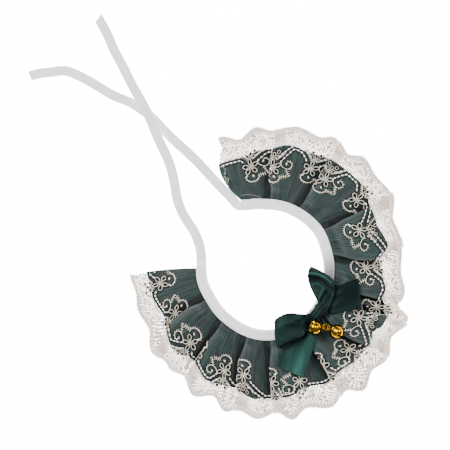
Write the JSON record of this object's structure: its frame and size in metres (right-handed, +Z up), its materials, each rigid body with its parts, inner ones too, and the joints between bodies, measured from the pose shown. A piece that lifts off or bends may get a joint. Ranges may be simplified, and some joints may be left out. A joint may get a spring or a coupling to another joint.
{
  "type": "decorative cat collar",
  "caption": "Pleated green ruffle collar for a cat, laid flat, with a scalloped lace border, a tape binding with tie ends, a satin bow and jingle bells that swing.",
  "frame": {"origin": "on the table under the middle of the collar, measured without its two ties", "axes": "+Z up from the table, +Y towards the end where the ties lie, +X towards the bow's side"},
  "size_m": [0.3044, 0.3248, 0.0205],
  "materials": {
    "green_cloth": "crisp taffeta with a soft sheen",
    "cream_lace": "matt net lace",
    "white_tape": "plain woven tape",
    "green_satin": "glossy satin ribbon",
    "gold_brass": "polished gold plate",
    "steel_ball": "plain steel"
  },
  "bodies": {
    "collar": {"ruffle": "green_cloth", "lace_border": "cream_lace", "neck_binding": "white_tape", "tie_left": "white_tape", "tie_right": "white_tape", "bow_knot": "green_satin", "bow_loop_left": "green_satin", "bow_loop_right": "green_satin", "bow_tail_left": "green_satin", "bow_tail_right": "green_satin", "bell_thread": "green_satin", "bell_ring": "gold_brass"},
    "bell_left": {"bell_left": "gold_brass", "bell_left_ball": "steel_ball"},
    "bell_right": {"bell_right": "gold_brass", "bell_right_ball": "steel_ball"}
  },
  "joints": [
    {"name": "bell_left_swing", "type": "hinge", "parent": "collar", "child": "bell_left", "pos_m": [0.04261, -0.04247, 0.0144], "axis": [-0.0767, 0.9971, 0], "range_deg": [0, 50]},
    {"name": "bell_right_swing", "type": "hinge", "parent": "collar", "child": "bell_right", "pos_m": [0.04679, -0.04323, 0.0144], "axis": [-0.4242, -0.9056, 0], "range_deg": [0, 50]}
  ]
}
